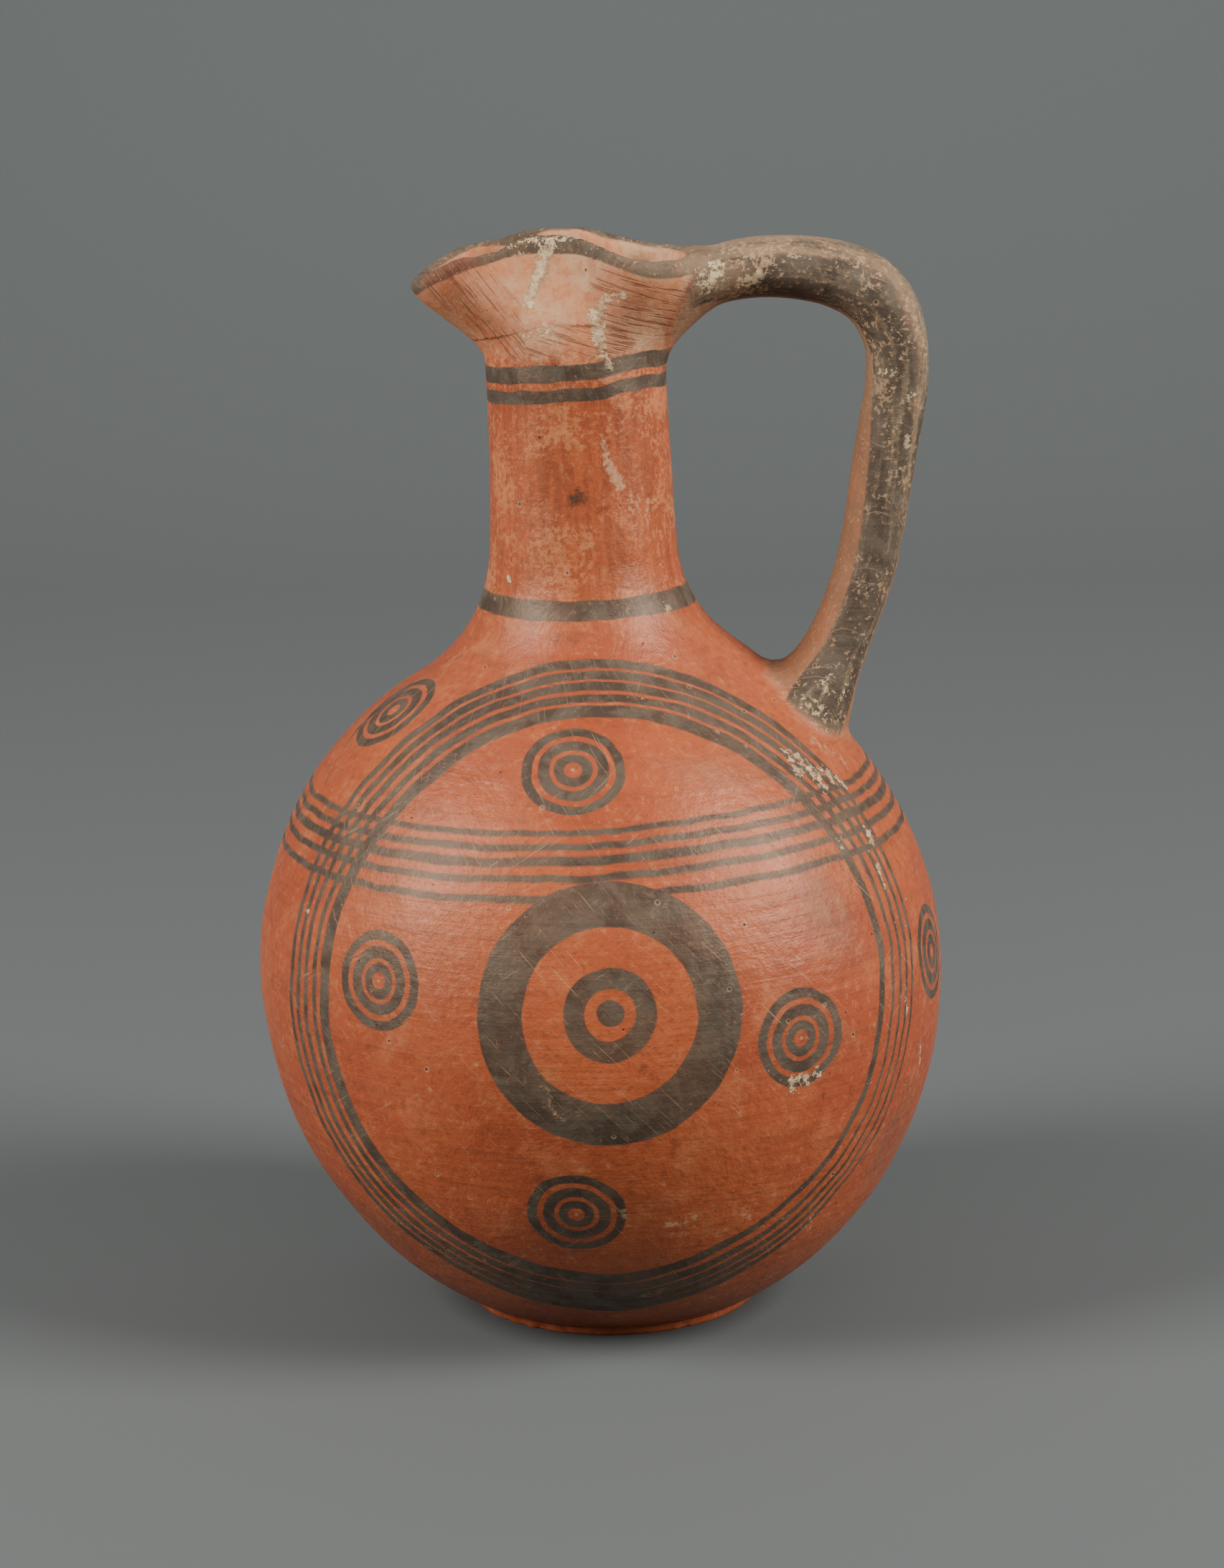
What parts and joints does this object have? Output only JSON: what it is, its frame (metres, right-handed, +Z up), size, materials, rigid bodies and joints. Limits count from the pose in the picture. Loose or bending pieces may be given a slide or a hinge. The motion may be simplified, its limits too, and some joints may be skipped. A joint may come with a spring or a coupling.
{
  "type": "terracotta pitcher",
  "caption": "Round-bodied clay jug on a disc foot, with a tall neck, a pinched pouring mouth and a strap handle, painted with concentric circles and lines.",
  "frame": {"origin": "centre of the flat underside of the foot", "axes": "+Z up, +X towards the handle, -X towards the pouring lip; the pitcher mirrors across Y = 0"},
  "size_m": [0.152, 0.152, 0.24],
  "materials": {
    "slipped_clay": "burnished orange-red slip with matt brown-black painted circles and bands, worn"
  },
  "bodies": {
    "root": {"pitcher": "slipped_clay"}
  },
  "joints": []
}
